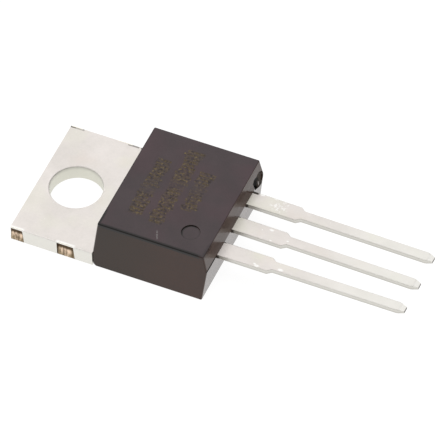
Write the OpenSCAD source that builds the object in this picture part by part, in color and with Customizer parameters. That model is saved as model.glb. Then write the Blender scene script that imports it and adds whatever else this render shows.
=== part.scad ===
// Power transistor in a three-lead package with a screw tab.
// Millimetres. It lies on its back: +Z is up through the epoxy, +X runs out along the leads, and the
// origin is the axis of the screw hole at the back face.

/* [Tab] */
// Width of the tab
tab_width = 10.37; // [9.7:0.01:10.8]
// Thickness of the tab
tab_thickness = 1.27; // [1.1:0.01:1.4]
// Distance from the hole to the free end of the tab
hole_to_tab_end = 2.78; // [2.5:0.01:3]
// Diameter of the screw hole
hole_diameter = 3.86; // [3.5:0.01:4]
// Distance from the hole to the epoxy
hole_to_body = 3.58; // [3.3:0.01:4]
// Width of the copper pad inside the epoxy
pad_width = 7.9; // [6.9:0.05:8.6]
// How far the pad runs in under the epoxy
pad_length = 6.1; // [5.8:0.05:6.4]
// Depth of the step that locks the pad's sides into the epoxy
pad_step = 0.3; // [0.1:0.01:0.4]
// Distance from the epoxy's edge in to the groove that keeps damp from creeping along the tab
damp_groove_setback = 0.35; // [0.2:0.01:0.6]
// Width of that groove
damp_groove_width = 0.4; // [0.2:0.01:0.6]
// Depth of that groove
damp_groove_depth = 0.2; // [0.1:0.01:0.4]
// Length of the cut mark at the tab's corner
corner_cut_length = 0.95; // [0.6:0.01:1.2]
// Length of the cut mark beside the epoxy
side_cut_length = 1.28; // [0.8:0.01:1.6]
// Distance from the hole to the start of the cut mark beside the epoxy
side_cut_start = 0.84; // [0.6:0.01:1]
// Depth of the cut marks
cut_depth = 0.11; // [0.05:0.01:0.2]
// Thickness of the thin lip that is left above each cut mark
cut_lip = 0.07; // [0.04:0.01:0.12]

/* [Moulded body] */
// Height of the whole package
body_height = 4.35; // [4.2:0.01:4.6]
// Width of the epoxy at the back face
body_width = 10.33; // [10:0.01:10.6]
// How far each long side leans in from the back face to the top
side_lean = 0.26; // [0.1:0.01:0.4]
// Distance from the hole to the tip of the epoxy on the lead side
hole_to_parting = 12.38; // [12.3:0.01:12.6]
// How far the lead side leans in above the parting line
upper_lean = 0.26; // [0.1:0.01:0.45]
// How far the lead side leans in below the parting line
lower_lean = 0.41; // [0.1:0.01:0.6]
// How far the tab side leans in above the tab
tab_side_lean = 0.42; // [0.2:0.01:0.7]
// Bevel on the two lower corners beside the tab
corner_bevel = 0.24; // [0.1:0.01:0.4]
// Radius of the round recess in the top face
recess_radius = 0.66; // [0.4:0.01:0.9]
// Depth of that recess
recess_depth = 0.08; // [0.02:0.01:0.15]
// Distance from the hole to the recess, along the leads
recess_x = 10.35; // [9.8:0.01:10.6]
// Distance from the middle to the recess, towards the gate side
recess_y = 3.08; // [2.5:0.01:3.4]
// Depth of the broken scar where the epoxy ran in
gate_scar_depth = 0.16; // [0.05:0.01:0.25]

/* [Leads] */
// Distance between the leads' middles
lead_pitch = 2.54; // [2.5:0.01:2.6]
// Thickness of the leads
lead_thickness = 0.4; // [0.36:0.01:0.5]
// Height of the leads' upper face above the back face, at the epoxy
lead_top = 2.96; // [2.8:0.01:3.1]
// Width of the wide stretch next to the epoxy
wide_width = 1.3; // [1.15:0.01:1.4]
// Width of the narrow stretch
narrow_width = 0.79; // [0.69:0.01:0.93]
// Width at the cut tip
tip_width = 0.48; // [0.3:0.01:0.65]
// Thickness at the cut tip
tip_thickness = 0.22; // [0.12:0.01:0.34]
// Length of the wide stretch outside the epoxy
wide_length = 3.72; // [3.4:0.01:4]
// Length of the shoulder between the wide and the narrow stretch
shoulder_length = 0.32; // [0.2:0.01:0.6]
// Length of the tapered tip
tip_length = 0.55; // [0.4:0.01:1]
// Length of the leads outside the epoxy
lead_length = 13.98; // [12.7:0.01:14.2]
// Droop of the gate lead, in degrees
gate_droop = 0.2; // [0:0.1:1.5]
// Droop of the drain lead, in degrees
drain_droop = 1.2; // [0:0.1:1.5]
// Droop of the source lead, in degrees
source_droop = 1.1; // [0:0.1:1.5]

/* [Posts and neck] */
// Distance from the tip of the epoxy in to the posts' outer edge
post_setback = 0.63; // [0.5:0.01:0.9]
// Length of the posts, along the leads
post_length = 1.25; // [1:0.01:1.35]
// How far the gate's post reaches from its lead's middle towards the neck
gate_post_reach_in = 0.99; // [0.8:0.01:1.1]
// How far the gate's post reaches from its lead's middle towards the side
gate_post_reach_out = 1.56; // [1.2:0.01:1.8]
// How far the source's post reaches from its lead's middle towards the neck
source_post_reach_in = 1.14; // [1:0.01:1.2]
// How far the source's post reaches from its lead's middle towards the side
source_post_reach_out = 1.76; // [1.5:0.01:1.9]
// Radius of the hole in each post that the epoxy runs through
lock_hole_radius = 0.3; // [0.2:0.01:0.35]
// Width of the neck
neck_width = 1.7; // [1.5:0.01:1.8]
// How far the neck runs along while it climbs from the pad to the leads
neck_run = 1.1; // [1:0.01:1.2]

/* [Chip and bond wires] */
// Length of the chip, along the leads
die_length = 4.1; // [3:0.05:4.4]
// Width of the chip
die_width = 3.5; // [2.5:0.05:4]
// Thickness of the chip
die_thickness = 0.25; // [0.18:0.01:0.3]
// Distance from the hole to the chip's middle
die_x = 7; // [6.8:0.05:7.1]
// Thickness of the solder under the chip
solder_thickness = 0.05; // [0.03:0.01:0.08]
// How far the solder runs out past each edge of the chip
solder_margin = 0.12; // [0.05:0.01:0.2]
// Diameter of the gate's bond wire
gate_wire_diameter = 0.13; // [0.1:0.01:0.15]
// Diameter of the source's bond wires
source_wire_diameter = 0.38; // [0.3:0.01:0.4]
// How high each wire's loop rises over the straight line between its feet
wire_rise = 0.75; // [0.6:0.01:0.85]

/* [Hidden] */
$fn = 96;
wire_facets = 48;

pad_end = hole_to_body + pad_length;
pad_step_height = tab_thickness * 0.45;
lead_bottom = lead_top - lead_thickness;

// The tip's upper and lower bevels take this share of its taper.
tip_bevel_share = 0.7;

// The neck starts back inside the pad, and each bend is spread a little to both sides of its middle.
neck_root = 0.5;
bend_spread = 0.12;

// Posts are the leads' wide inner ends, where the bond wires land.
post_end = hole_to_parting - post_setback;
post_start = post_end - post_length;
lock_hole_wall = [0.15, 0.25];
blade_overlap = 0.1;

die_bottom = tab_thickness + solder_thickness;
die_top = die_bottom + die_thickness;

// A bond foot is a wire's end pressed wide and flat. These are shares of the wire's radius: the foot's own
// radius, the height of its axis, the height at which the loop runs into it, and its length.
foot_swell = 1.2;
foot_rise = 0.5;
loop_rise = 0.6;
foot_length = 4.5;
foot_toe = 0.9;

// Feet of each wire. Where it leaves the chip is given as shares of the chip's length and width, from its
// middle. Where it lands is given as a share of the post's length, from its start, and as a share of the
// leads' pitch, from its own lead's middle.
gate_wire_from = foot_on_chip([0.39, -0.34]);
gate_wire_to = foot_on_post([0.4, 0.016], -1);
source_wire_from = [foot_on_chip([0.22, 0.143]), foot_on_chip([0.024, 0.329])];
source_wire_to = [foot_on_post([0.48, -0.232], 1), foot_on_post([0.48, 0.181], 1)];

// How far a cutting shape runs past what it cuts, and how far two fused shapes overlap.
over = 1;
weld = 0.01;

// The scar's outline on the lead side, as [distance from the middle, height].
gate_scar = [
    [3.3, 3.5], [3.36, 3.0], [3.5, 2.7], [4.3, 2.15], [4.65, 2.05], [4.82, 2.4], [4.84, 2.95],
    [4.75, 3.25], [4.4, 3.65], [3.95, 3.6], [3.6, 3.68]
];

function middle(a, b) = (a + b) / 2;
function foot_on_chip(share) = [die_x + share.x * die_length, share.y * die_width];
function foot_on_post(share, side) = [post_start + share.x * post_length, (side + share.y) * lead_pitch];

// A flat outline in X and Z, made solid over a width that is centred on the middle plane.
module side_profile(points, width) {
    translate([0, width / 2, 0])
    rotate([90, 0, 0])
    linear_extrude(width)
    polygon(points);
}

// Cut marks on the tab's long sides, where strips between neighbouring tabs were sheared.
module cut_marks() {
    mark_height = tab_thickness - cut_lip;
    mark_width = tab_width + 2 * over;
    difference() {
        union() {
            translate([-hole_to_tab_end - over, -mark_width / 2, -over])
            cube([corner_cut_length + over, mark_width, mark_height + over]);
            translate([side_cut_start, -mark_width / 2, -over])
            cube([side_cut_length, mark_width, mark_height + over]);
        }
        translate([-hole_to_tab_end - 2 * over, -tab_width / 2 + cut_depth, -2 * over])
        cube([hole_to_body + hole_to_tab_end + 2 * over, tab_width - 2 * cut_depth, mark_height + 3 * over]);
    }
}

// The pad under the chip: narrower than the tab, with a step along each side that locks it in.
module die_pad() {
    translate([hole_to_body - weld, -pad_width / 2 + pad_step, 0])
    cube([pad_length + weld, pad_width - 2 * pad_step, tab_thickness]);
    translate([hole_to_body - weld, -pad_width / 2, pad_step_height])
    cube([pad_length + weld, pad_width, tab_thickness - pad_step_height]);
}

// The bent strip that carries the middle lead up from the pad to the leads' height.
module drain_neck() {
    side_profile([
        [pad_end - neck_root, tab_thickness],
        [pad_end - neck_root, tab_thickness - lead_thickness],
        [pad_end + bend_spread, tab_thickness - lead_thickness],
        [pad_end + neck_run + bend_spread, lead_bottom],
        [post_end, lead_bottom],
        [post_end, lead_top],
        [pad_end + neck_run - bend_spread, lead_top],
        [pad_end - bend_spread, tab_thickness]
    ], neck_width);
}

// One lead from inside the epoxy to its tip, centred on the middle plane.
module lead_blade(inner_end, droop) {
    root = hole_to_parting;
    shoulder = root + wide_length;
    narrow = shoulder + shoulder_length;
    tip = root + lead_length;
    half_wide = wide_width / 2;
    half_narrow = narrow_width / 2;
    half_tip = tip_width / 2;
    translate([inner_end, -half_wide, lead_bottom])
    cube([root - inner_end, wide_width, lead_thickness]);
    bevel = (lead_thickness - tip_thickness) / 2;
    bevel_start = tip - tip_length * tip_bevel_share;
    translate([root, 0, lead_top])
    rotate([0, droop, 0])
    translate([-root, 0, -lead_thickness])
    intersection() {
        linear_extrude(lead_thickness)
        polygon([
            [root, half_wide], [shoulder, half_wide], [narrow, half_narrow], [tip - tip_length, half_narrow],
            [tip, half_tip], [tip, -half_tip], [tip - tip_length, -half_narrow], [narrow, -half_narrow],
            [shoulder, -half_wide], [root, -half_wide]
        ]);
        side_profile([
            [root, 0], [bevel_start, 0], [tip, bevel],
            [tip, lead_thickness - bevel], [bevel_start, lead_thickness], [root, lead_thickness]
        ], 2 * wide_width);
    }
}

// A wide inner end with a hole that the epoxy runs through; side is -1 for the gate and 1 for the source.
module bond_post(reach_in, reach_out, side) {
    inner = lead_pitch - reach_in;
    outer = lead_pitch + reach_out;
    hole_x = post_end - lock_hole_radius - lock_hole_wall.x;
    hole_y = outer - lock_hole_radius - lock_hole_wall.y;
    difference() {
        translate([post_start, side > 0 ? inner : -outer, lead_bottom])
        cube([post_length, outer - inner, lead_thickness]);
        translate([hole_x, side * hole_y, 0])
        cylinder(h = body_height, r = lock_hole_radius);
    }
}

// A bond wire: a flattened foot on each end, and an arc between them that stands upright over its route.
module bond_wire(from, to, diameter) {
    radius = diameter / 2;
    low = die_top + radius * loop_rise;
    high = lead_top + radius * loop_rise;
    run = norm(to - from);
    turn = atan2(to.y - from.y, to.x - from.x);
    chord = norm([run, high - low]);
    slope = atan2(high - low, run);
    arc_radius = (chord * chord / 4 + wire_rise * wire_rise) / (2 * wire_rise);
    half_angle = asin(chord / (2 * arc_radius));
    translate([from.x, from.y, 0])
    rotate([0, 0, turn])
    difference() {
        union() {
            bond_foot(0, die_top, radius, 1);
            bond_foot(run, lead_top, radius, -1);
            translate([run / 2, 0, middle(low, high)])
            rotate([0, -slope, 0])
            translate([0, 0, wire_rise - arc_radius])
            rotate([90, 0, 0])
            rotate([0, 0, 90 - half_angle])
            rotate_extrude(angle = 2 * half_angle, $fn = wire_facets)
            translate([arc_radius, 0])
            circle(r = radius);
        }
        under_foot(0, die_top, radius, 1);
        under_foot(run, lead_top, radius, -1);
    }
}

// A foot at x, pointing away from the loop; inward is 1 where the loop leaves towards +X.
module bond_foot(x, surface, radius, inward) {
    reach = radius * (foot_length + foot_toe);
    start = inward > 0 ? x - radius * foot_length : x - radius * foot_toe;
    translate([start, 0, surface + radius * foot_rise])
    rotate([0, 90, 0])
    cylinder(h = reach, r = radius * foot_swell, $fn = wire_facets);
}

// What the surface under a foot keeps the wire out of.
module under_foot(x, surface, radius, inward) {
    reach = radius * (2 * foot_length);
    start = inward > 0 ? x - radius * (2 * foot_length - 1.5) : x - radius * 1.5;
    translate([start, -2 * radius, surface - 3 * radius])
    cube([reach, 4 * radius, 3 * radius]);
}

// The epoxy's outer form, before what it holds is taken out.
module body_form() {
    top_half = body_width / 2 - side_lean;
    body_end = hole_to_parting;
    intersection() {
        side_profile([
            [hole_to_body + corner_bevel, 0],
            [hole_to_body, corner_bevel],
            [hole_to_body, tab_thickness],
            [hole_to_body + tab_side_lean, body_height],
            [body_end - upper_lean, body_height],
            [body_end, lead_top],
            [body_end - lower_lean, 0]
        ], body_width + 2 * over);
        translate([hole_to_body - over, 0, 0])
        rotate([90, 0, 90])
        linear_extrude(body_end - hole_to_body + 2 * over)
        polygon([
            [-body_width / 2, 0], [body_width / 2, 0], [top_half, body_height], [-top_half, body_height]
        ]);
    }
}

// The scar is a flat-bottomed chip that follows the epoxy's end.
module gate_scar_chip() {
    translate([hole_to_parting - gate_scar_depth, 0, 0])
    rotate([90, 0, 90])
    linear_extrude(gate_scar_depth + over)
    polygon(gate_scar);
}

module drain_tab() {
    color("gainsboro")
    union() {
        difference() {
            translate([-hole_to_tab_end, -tab_width / 2, 0])
            cube([hole_to_tab_end + hole_to_body, tab_width, tab_thickness]);
            cut_marks();
            translate([0, 0, -over])
            cylinder(h = tab_thickness + 2 * over, d = hole_diameter);
        }
        difference() {
            die_pad();
            translate([hole_to_body + damp_groove_setback, -tab_width, tab_thickness - damp_groove_depth])
            cube([damp_groove_width, 2 * tab_width, damp_groove_depth + over]);
        }
        drain_neck();
        lead_blade(post_end - blade_overlap, drain_droop);
    }
}

module gate_lead() {
    color("gainsboro")
    union() {
        bond_post(gate_post_reach_in, gate_post_reach_out, -1);
        translate([0, -lead_pitch, 0])
        lead_blade(post_end - blade_overlap, gate_droop);
    }
}

module source_lead() {
    color("gainsboro")
    union() {
        bond_post(source_post_reach_in, source_post_reach_out, 1);
        translate([0, lead_pitch, 0])
        lead_blade(post_end - blade_overlap, source_droop);
    }
}

module silicon_die() {
    color("dimgray")
    translate([die_x - die_length / 2, -die_width / 2, die_bottom])
    cube([die_length, die_width, die_thickness]);
}

module die_solder() {
    color("darkgray")
    translate([die_x - die_length / 2 - solder_margin, -die_width / 2 - solder_margin, tab_thickness])
    cube([die_length + 2 * solder_margin, die_width + 2 * solder_margin, solder_thickness]);
}

module gate_wire() {
    color("silver")
    bond_wire(gate_wire_from, gate_wire_to, gate_wire_diameter);
}

module source_wire(i) {
    color("silver")
    bond_wire(source_wire_from[i], source_wire_to[i], source_wire_diameter);
}

// The epoxy once the copper that it grips is taken out.
module body_around_copper() {
    difference() {
        body_form();
        translate([recess_x, -recess_y, body_height - recess_depth])
        cylinder(h = recess_depth + over, r = recess_radius);
        gate_scar_chip();
        drain_tab();
        gate_lead();
        source_lead();
    }
}

module moulded_body() {
    color("#4b4748")
    difference() {
        body_around_copper();
        silicon_die();
        die_solder();
        gate_wire();
        source_wire(0);
        source_wire(1);
    }
}

drain_tab();
gate_lead();
source_lead();
silicon_die();
die_solder();
gate_wire();
source_wire(0);  // source_wire_1
source_wire(1);  // source_wire_2
moulded_body();
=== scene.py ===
import logging
import math
from dataclasses import dataclass
from enum import Enum
from typing import Any, Callable, Optional, Sequence, Union

import bmesh
import bpy
from mathutils import Matrix, Vector


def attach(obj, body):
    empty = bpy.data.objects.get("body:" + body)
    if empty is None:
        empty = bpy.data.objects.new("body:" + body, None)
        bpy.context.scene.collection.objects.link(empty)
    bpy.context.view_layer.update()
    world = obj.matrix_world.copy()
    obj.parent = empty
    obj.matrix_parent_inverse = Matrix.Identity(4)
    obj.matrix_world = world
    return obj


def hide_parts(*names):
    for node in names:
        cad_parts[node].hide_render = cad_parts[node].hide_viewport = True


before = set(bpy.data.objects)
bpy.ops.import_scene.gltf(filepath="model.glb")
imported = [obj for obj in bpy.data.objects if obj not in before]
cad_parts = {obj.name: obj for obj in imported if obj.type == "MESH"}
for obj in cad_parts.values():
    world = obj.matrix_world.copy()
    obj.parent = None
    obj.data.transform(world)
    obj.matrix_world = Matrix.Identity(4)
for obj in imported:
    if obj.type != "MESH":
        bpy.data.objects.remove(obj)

log = logging.getLogger("power_transistor")

MM = 0.001
Point = tuple[float, float]
Triple = tuple[float, float, float]
Rgb = Triple
Value = Union["Signal", float, int, bool, Sequence[float], bpy.types.Material]


# ---------------------------------------------------------------------------------------------
# Node trees, for finishes and for shapes alike
# ---------------------------------------------------------------------------------------------


class Signal:
    """One output socket of a node, which ordinary arithmetic turns into Math nodes."""

    def __init__(self, tree: "NodeTree", socket: bpy.types.NodeSocket) -> None:
        """Wraps an output socket.

        Args:
            tree: The tree that the socket belongs to.
            socket: The output socket.
        """
        self.tree = tree
        self.socket = socket

    def _math(self, operation: str, *values: Value) -> "Signal":
        """Adds one Math node.

        Args:
            operation: The Math node's operation.
            *values: Its inputs, in order.

        Returns:
            The node's result.
        """
        node = self.tree.node("ShaderNodeMath", {"operation": operation}, dict(enumerate(values)))
        return self.tree.out(node)

    def __add__(self, other: Value) -> "Signal":
        """Sum."""
        return self._math("ADD", self, other)

    __radd__ = __add__

    def __sub__(self, other: Value) -> "Signal":
        """Difference."""
        return self._math("SUBTRACT", self, other)

    def __rsub__(self, other: Value) -> "Signal":
        """Difference from a number."""
        return self._math("SUBTRACT", other, self)

    def __mul__(self, other: Value) -> "Signal":
        """Product."""
        return self._math("MULTIPLY", self, other)

    __rmul__ = __mul__

    def __truediv__(self, other: Value) -> "Signal":
        """Quotient."""
        return self._math("DIVIDE", self, other)

    def sine(self) -> "Signal":
        """Sine of an angle in radians."""
        return self._math("SINE", self)

    def cosine(self) -> "Signal":
        """Cosine of an angle in radians."""
        return self._math("COSINE", self)

    def root(self) -> "Signal":
        """Square root."""
        return self._math("SQRT", self)

    def absolute(self) -> "Signal":
        """Size without its sign."""
        return self._math("ABSOLUTE", self)

    def sign(self) -> "Signal":
        """Sign, as -1 or 1."""
        return self._math("SIGN", self)

    def floor(self) -> "Signal":
        """Whole part."""
        return self._math("FLOOR", self)

    def fraction(self) -> "Signal":
        """What is left over the whole part."""
        return self._math("FRACT", self)

    def angle(self, other: Value) -> "Signal":
        """Angle in radians whose tangent is this value over another."""
        return self._math("ARCTAN2", self, other)

    def lower(self, other: Value) -> "Signal":
        """The smaller of two."""
        return self._math("MINIMUM", self, other)

    def higher(self, other: Value) -> "Signal":
        """The larger of two."""
        return self._math("MAXIMUM", self, other)

    def ramp(
        self, start: Value, end: Value, low: Value = 0.0, high: Value = 1.0, smooth: bool = True
    ) -> "Signal":
        """Runs from low to high while this value runs from start to end, and holds outside.

        Args:
            start: Where the ramp begins.
            end: Where it ends.
            low: The result before the start.
            high: The result after the end.
            smooth: Whether it eases in and out.

        Returns:
            The ramped value.
        """
        settings = {"interpolation_type": "SMOOTHSTEP" if smooth else "LINEAR", "clamp": True}
        values = {"Value": self, "From Min": start, "From Max": end, "To Min": low, "To Max": high}
        return self.tree.out(self.tree.node("ShaderNodeMapRange", settings, values))

    def between(self, low: float, high: float, soft: float) -> "Signal":
        """1 inside a stretch and 0 outside it.

        Args:
            low: Start of the stretch.
            high: End of the stretch.
            soft: Width over which each end fades.

        Returns:
            The mask.
        """
        return self.ramp(low - soft, low + soft) * self.ramp(high - soft, high + soft, 1.0, 0.0)


class NodeTree:
    """A shader or geometry tree under construction."""

    def __init__(self, tree: bpy.types.NodeTree) -> None:
        """Wraps a tree.

        Args:
            tree: The tree to build in.
        """
        self.tree = tree

    def node(
        self, kind: str, settings: Optional[dict[str, Any]] = None, values: Optional[dict[Any, Value]] = None
    ) -> bpy.types.Node:
        """Makes any node: first its settings, then the values or links of its sockets.

        Args:
            kind: The node's type.
            settings: The node's own properties.
            values: Socket name or number, and a number, a colour, a material or a Signal.

        Returns:
            The node.
        """
        node = self.tree.nodes.new(kind)
        for name, setting in (settings or {}).items():
            setattr(node, name, setting)
        for name, value in (values or {}).items():
            if isinstance(value, Signal):
                self.tree.links.new(value.socket, node.inputs[name])
            else:
                node.inputs[name].default_value = value
        return node

    def out(self, node: bpy.types.Node, name: Union[str, int] = 0) -> Signal:
        """A node's output as a Signal."""
        return Signal(self, node.outputs[name])

    def noise(
        self, place: Signal, scale: float, detail: float = 2.0, rough: float = 0.5, seed: float = 0.0
    ) -> Signal:
        """Smooth noise about 0.5.

        Args:
            place: The coordinates that it reads.
            scale: Waves per unit of those coordinates.
            detail: How many finer layers it has.
            rough: How strong the finer layers are.
            seed: Shifts it to another stretch of the same noise.

        Returns:
            The noise.
        """
        values = {"Vector": place, "W": seed, "Scale": scale, "Detail": detail, "Roughness": rough}
        return self.out(self.node("ShaderNodeTexNoise", {"noise_dimensions": "4D"}, values), 0)

    def split(self, vector: Signal) -> tuple[Signal, Signal, Signal]:
        """A vector's three parts."""
        node = self.node("ShaderNodeSeparateXYZ", None, {0: vector})
        return self.out(node, 0), self.out(node, 1), self.out(node, 2)

    def join(self, x: Value, y: Value, z: Value) -> Signal:
        """A vector from three parts."""
        return self.out(self.node("ShaderNodeCombineXYZ", None, {0: x, 1: y, 2: z}))

    def stretch(self, vector: Signal, x: float, y: float, z: float) -> Signal:
        """A vector with each part scaled on its own."""
        node = self.node("ShaderNodeVectorMath", {"operation": "MULTIPLY"}, {0: vector, 1: (x, y, z)})
        return self.out(node)

    def blend(self, first: Value, second: Value, share: Value) -> Signal:
        """Mixes two colours.

        Args:
            first: The colour where share is 0.
            second: The colour where share is 1.
            share: How much of the second.

        Returns:
            The mixed colour.
        """
        colours = [(*c, 1.0) if isinstance(c, tuple) and len(c) == 3 else c for c in (first, second)]
        node = self.node("ShaderNodeMix", {"data_type": "RGBA"}, {0: share, 6: colours[0], 7: colours[1]})
        return self.out(node, 2)

    def layers(self, ground: Value, *layers: tuple[Value, Value]) -> Value:
        """Lays colours over a ground, one after another.

        Args:
            ground: The colour at the bottom.
            *layers: Each layer's colour, and how much of it there is.

        Returns:
            The colour at the top.
        """
        for colour, share in layers:
            ground = self.blend(ground, colour, share)
        return ground

    def shade(self, vector: Signal, amount: Value) -> Signal:
        """Multiplies a colour or a vector by a number."""
        node = self.node("ShaderNodeVectorMath", {"operation": "SCALE"}, {0: vector, "Scale": amount})
        return self.out(node)


class FinishTree(NodeTree):
    """A material's tree, with coordinates in millimetres and one shader at its end."""

    COAT_ROUGHNESS = 0.12

    def __init__(self, name: str) -> None:
        """Makes the material.

        Args:
            name: The material's name.
        """
        self.material = bpy.data.materials.new(name)
        self.material.use_nodes = True
        super().__init__(self.material.node_tree)
        self.tree.nodes.clear()
        source = self.node("ShaderNodeTexCoord")
        self.place = self.shade(self.out(source, "Object"), 1.0 / MM)
        self.x, self.y, self.z = self.split(self.place)
        self.facing_x, self.facing_y, self.facing_z = self.split(self.out(source, "Normal"))

    def cloud(self, scale: float, detail: float, rough: float, seed: float = 0.0) -> Signal:
        """Smooth noise at the piece's own coordinates."""
        return self.noise(self.place, scale, detail, rough, seed)

    def away_from(self, x: float, y: float, squeeze: float = 1.0) -> Signal:
        """How far each point is from an upright line.

        Args:
            x: The line's place along X.
            y: Its place along Y.
            squeeze: What a step along X counts for, beside one along Y.

        Returns:
            The distance, in millimetres.
        """
        off_x, off_y = (self.x - x) * squeeze, self.y - y
        return (off_x * off_x + off_y * off_y).root()

    def surface(
        self,
        colour: Value,
        roughness: Value,
        metallic: Value = 0.0,
        height: Optional[Signal] = None,
        depth: float = 0.0,
        ior: float = 1.5,
        gloss: float = 0.5,
        coat: Optional[Signal] = None,
    ) -> bpy.types.Material:
        """Ends the tree in one Principled shader.

        Args:
            colour: Base colour.
            roughness: Roughness.
            metallic: How metallic it is.
            height: Relief from 0 to 1, if there is one.
            depth: The relief's depth, in millimetres.
            ior: Index of refraction.
            gloss: How strongly a surface that isn't metal mirrors, where 0.5 is as its index says.
            coat: How much of a glossy skin it has, if any.

        Returns:
            The finished material.
        """
        values: dict[Any, Value] = {
            "Base Color": colour,
            "Roughness": roughness,
            "Metallic": metallic,
            "IOR": ior,
            "Specular IOR Level": gloss,
        }
        if coat is not None:
            values["Coat Weight"] = coat
            values["Coat Roughness"] = self.COAT_ROUGHNESS
        if height is not None:
            relief = {"Strength": 1.0, "Distance": depth * MM, "Height": height}
            values["Normal"] = self.out(self.node("ShaderNodeBump", None, relief))
        shader = self.node("ShaderNodeBsdfPrincipled", None, values)
        self.node("ShaderNodeOutputMaterial", None, {"Surface": self.out(shader)})
        return self.material


# ---------------------------------------------------------------------------------------------
# Finishes
# ---------------------------------------------------------------------------------------------


@dataclass(frozen=True)
class StrokeRow:
    """One row of strokes: its stretch along X and along Y, and the Y round which it is faint."""

    x_low: float
    x_high: float
    y_low: float
    y_high: float
    faint: float


@dataclass(frozen=True)
class EpoxyFinish:
    """Black moulding epoxy with a fine spark-eroded grain, and rows of plain scribed strokes on its top."""

    top: float = 4.35
    parting: float = 2.96
    top_half_width: float = 4.905
    top_start: float = 4.0
    top_end: float = 12.12
    # Painted light: one epoxy gets a dark colour for the sides, a lighter one for the top and a lighter one
    # still for the lead end.
    top_colour: Rgb = (0.0525, 0.0300, 0.0345)
    cool_top_colour: Rgb = (0.0455, 0.0305, 0.0335)
    side_colour: Rgb = (0.019, 0.0065, 0.0)
    lit_side_colour: Rgb = (0.033, 0.010, 0.003)
    end_colour: Rgb = (0.092, 0.060, 0.050)
    # Colour of the painted shade along the top's rim and in the ejector mark.
    painted_shade_colour: Rgb = (0.003, 0.0015, 0.001)
    stroke_colour: Rgb = (0.061, 0.037, 0.010)
    pale_stroke_colour: Rgb = (0.15, 0.105, 0.035)
    dark_stroke_colour: Rgb = (0.008, 0.001, 0.0)
    scratch_colour: Rgb = (0.30, 0.29, 0.28)
    rows: tuple[StrokeRow, ...] = (
        StrokeRow(5.35, 6.55, -3.05, 2.4, -0.63),
        StrokeRow(7.05, 8.35, -3.3, 3.9, 0.5),
        StrokeRow(8.7, 9.85, -1.4, 2.35, 0.6),
    )
    stroke_pitch: float = 0.3
    faint_reach: float = 0.35
    faint_loss: float = 0.6
    mark_centre: Point = (10.35, -3.08)
    mark_radius: float = 0.66
    scratch_middle: Point = (8.27, -4.2)
    scratch_across: Point = (0.912, 0.41)
    relief_depth: float = 0.0025
    gloss: float = 0.42
    end_coat: float = 0.08

    def lead_end(self, tree: FinishTree) -> Signal:
        """1 on the end that the leads come out of."""
        return tree.facing_x.ramp(0.7, 0.95)

    def level_top(self, tree: FinishTree) -> Signal:
        """1 where the top is level, inside its rounded edges."""
        return tree.facing_z.ramp(0.95, 0.99)

    def ground(self, tree: FinishTree) -> Signal:
        """Colours the sides, the lead end and the top, with painted light: the same epoxy is darker on the
        sides, lighter on the top and lighter still on the lead end, and the sides lighten towards the lead
        end.

        Args:
            tree: The tree to build in.

        Returns:
            The colour, before any wear.
        """
        # Painted light: the sides lighten towards the lead end.
        sides = tree.blend(self.side_colour, self.lit_side_colour, tree.x.ramp(4.5, 11.0))
        hue = tree.cloud(0.3, 2.0, 0.5, 17.0).ramp(0.4, 0.6)
        upper = tree.blend(self.cool_top_colour, self.top_colour, hue)
        lead_end = (self.end_colour, self.lead_end(tree))
        return tree.layers(sides, lead_end, (upper, tree.facing_z.ramp(0.6, 0.95)))

    def painted_edge_shade(self, tree: FinishTree) -> Signal:
        """Masks painted shade along the top's rim, which is widest along the near side.

        Args:
            tree: The tree to build in.

        Returns:
            The mask.
        """
        inward = (self.top_half_width - tree.y.absolute()).lower(tree.x - self.top_start)
        inward = inward.lower(self.top_end - tree.x)
        near_side = tree.y.ramp(1.0 - self.top_half_width, 2.0 - self.top_half_width, 1.0, 0.0)
        strength = near_side * 0.4 + tree.x.ramp(self.top_end - 0.6, self.top_end - 0.2, 0.6, 0.0)
        low = self.top - 0.13 - near_side * 0.14
        edge = inward.ramp(near_side * 0.16 + 0.11, near_side * 0.06 + 0.03) * tree.z.ramp(low, low + 0.07)
        return edge * strength

    def painted_mark_shade(self, tree: FinishTree) -> Signal:
        """Masks painted shade on the wall of the ejector's round mark, strongest on one side.

        Args:
            tree: The tree to build in.

        Returns:
            The mask.
        """
        off_x, off_y = tree.x - self.mark_centre[0], tree.y - self.mark_centre[1]
        radius = tree.away_from(*self.mark_centre)
        ring = radius.between(self.mark_radius - 0.1, self.mark_radius + 0.02, 0.04)
        # Painted shade, strongest on one side of the wall.
        shaded_side = (off_y * 0.49 - off_x * 0.87).ramp(-0.05, 0.35, 0.25, 1.0)
        return ring * shaded_side * tree.z.ramp(self.top - 0.15, self.top - 0.1) * 0.9

    def scratch(self, tree: FinishTree) -> Signal:
        """Masks one short scratch on the top.

        Args:
            tree: The tree to build in.

        Returns:
            The mask.
        """
        off_x, off_y = tree.x - self.scratch_middle[0], tree.y - self.scratch_middle[1]
        way_x, way_y = self.scratch_across
        across = (off_x * way_x + off_y * way_y).absolute()
        along = (off_x * way_y - off_y * way_x).absolute()
        return across.ramp(0.075, 0.02) * along.ramp(0.45, 0.3) * self.level_top(tree)

    def row(self, tree: FinishTree, row: StrokeRow) -> Signal:
        """Masks the ground of one row, ragged at both ends of its strokes and faint along one stretch.

        Args:
            tree: The tree to build in.
            row: The row.

        Returns:
            1 in the row, 0 beside it.
        """
        stroke = (tree.y / self.stroke_pitch).floor()
        far = tree.noise(tree.join(stroke * 7.31, row.x_low * 3.7, 0.0), 1.0, 0.0)
        near = tree.noise(tree.join(stroke * 5.17, row.x_low * 1.9, 4.0), 1.0, 0.0)
        start = near.ramp(0.3, 0.7, -0.1, 0.2, False) + row.x_low
        end = far.ramp(0.3, 0.7, -0.25, 0.12, False) + row.x_high
        ground = (tree.x - start).ramp(-0.03, 0.03) * (end - tree.x).ramp(-0.03, 0.03)
        faint = tree.y.between(row.faint - self.faint_reach, row.faint + self.faint_reach, 0.3)
        return ground * tree.y.between(row.y_low, row.y_high, 0.05) * (1.0 - faint * self.faint_loss)

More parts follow.
